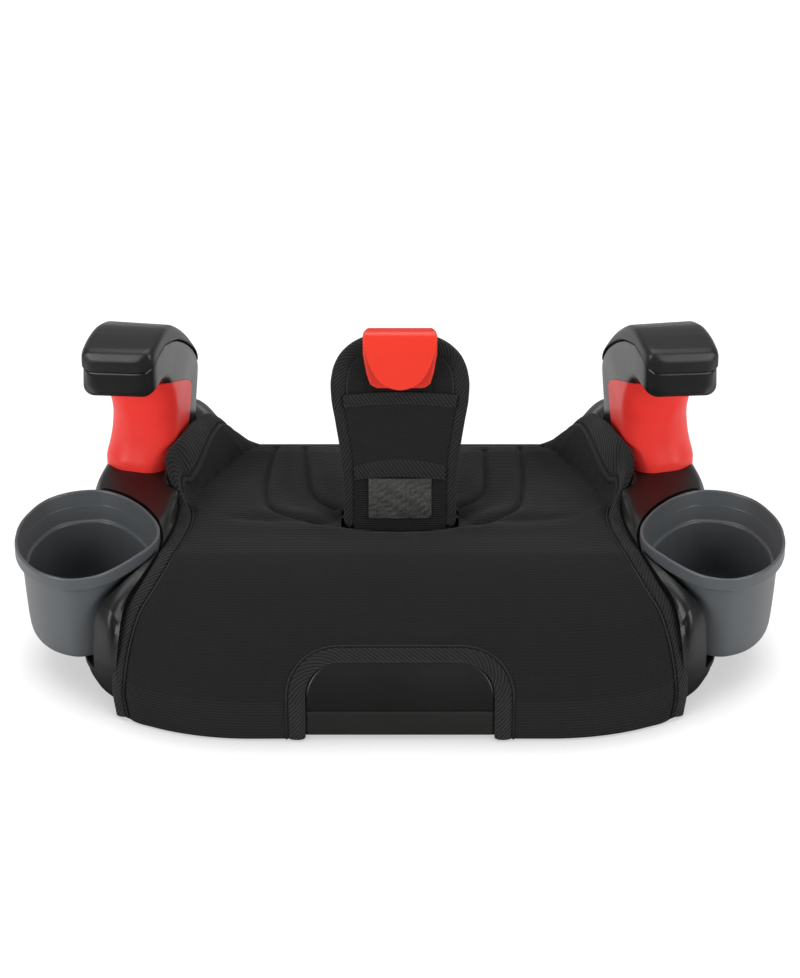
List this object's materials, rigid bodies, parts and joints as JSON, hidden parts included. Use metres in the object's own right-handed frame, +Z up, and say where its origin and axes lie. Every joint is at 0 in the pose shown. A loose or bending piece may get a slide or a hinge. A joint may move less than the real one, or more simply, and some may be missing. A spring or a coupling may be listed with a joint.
{
  "type": "booster seat",
  "caption": "Backless car booster seat with ribbed knit cover, side bolsters, goose-neck armrests, lift-out cup holders and a folding crotch tether with a lap-belt clip.",
  "frame": {"origin": "on the floor, in the middle of the base's width and of its depth from front edge to rear edge", "axes": "+X to the sitter's left seen from the front of the seat (picture right), +Y towards the rear, +Z up"},
  "size_m": [0.5432, 0.34, 0.2366],
  "materials": {
    "shell_plastic": "semi-gloss black moulding",
    "tray_plastic": "matte black moulding",
    "knit_fabric": "black ribbed knit",
    "seat_foam": "light grey open foam",
    "cup_plastic": "satin blue-grey moulding",
    "arm_plastic": "satin dark grey moulding",
    "soft_pad": "soft-touch black elastomer",
    "red_plastic": "glossy coral red moulding",
    "webbing": "black woven webbing",
    "patch_vinyl": "dark perforated vinyl",
    "steel": "zinc plated",
    "rubber_feet": "black rubber"
  },
  "bodies": {
    "base": {"anchor_bar": "steel", "anchor_webbing": "webbing", "armrest_left": "arm_plastic", "armrest_pad_left": "soft_pad", "armrest_pad_right": "soft_pad", "armrest_right": "arm_plastic", "base_screw_1": "steel", "base_screw_2": "steel", "base_screw_3": "steel", "base_screw_4": "steel", "base_screw_5": "steel", "base_screw_6": "steel", "belt_guide_left": "red_plastic", "belt_guide_right": "red_plastic", "lower_shell": "tray_plastic", "post_screw_left_1": "steel", "post_screw_left_2": "steel", "post_screw_right_1": "steel", "post_screw_right_2": "steel", "rubber_foot_1": "rubber_feet", "rubber_foot_2": "rubber_feet", "rubber_foot_3": "rubber_feet", "rubber_foot_4": "rubber_feet", "seat_cover": "knit_fabric", "seat_foam": "seat_foam", "upper_shell": "shell_plastic"},
    "cup_left": {"cup_holder_left": "cup_plastic"},
    "cup_right": {"cup_holder_right": "cup_plastic"},
    "tether": {"tether_pad": "knit_fabric", "tether_sleeve": "knit_fabric", "tether_strap": "webbing", "grip_patch": "patch_vinyl", "belt_clip": "red_plastic", "clip_rivet_1": "steel", "clip_rivet_2": "steel"}
  },
  "joints": [
    {"name": "cup_left_lift", "type": "slide", "parent": "base", "child": "cup_left", "axis": [0, 0, 1], "range_m": [0, 0.085]},
    {"name": "cup_right_lift", "type": "slide", "parent": "base", "child": "cup_right", "axis": [0, 0, 1], "range_m": [0, 0.085]},
    {"name": "tether_fold", "type": "hinge", "parent": "base", "child": "tether", "pos_m": [0, -0.031, 0.088], "axis": [1, 0, 0], "range_deg": [-48, 60]}
  ]
}
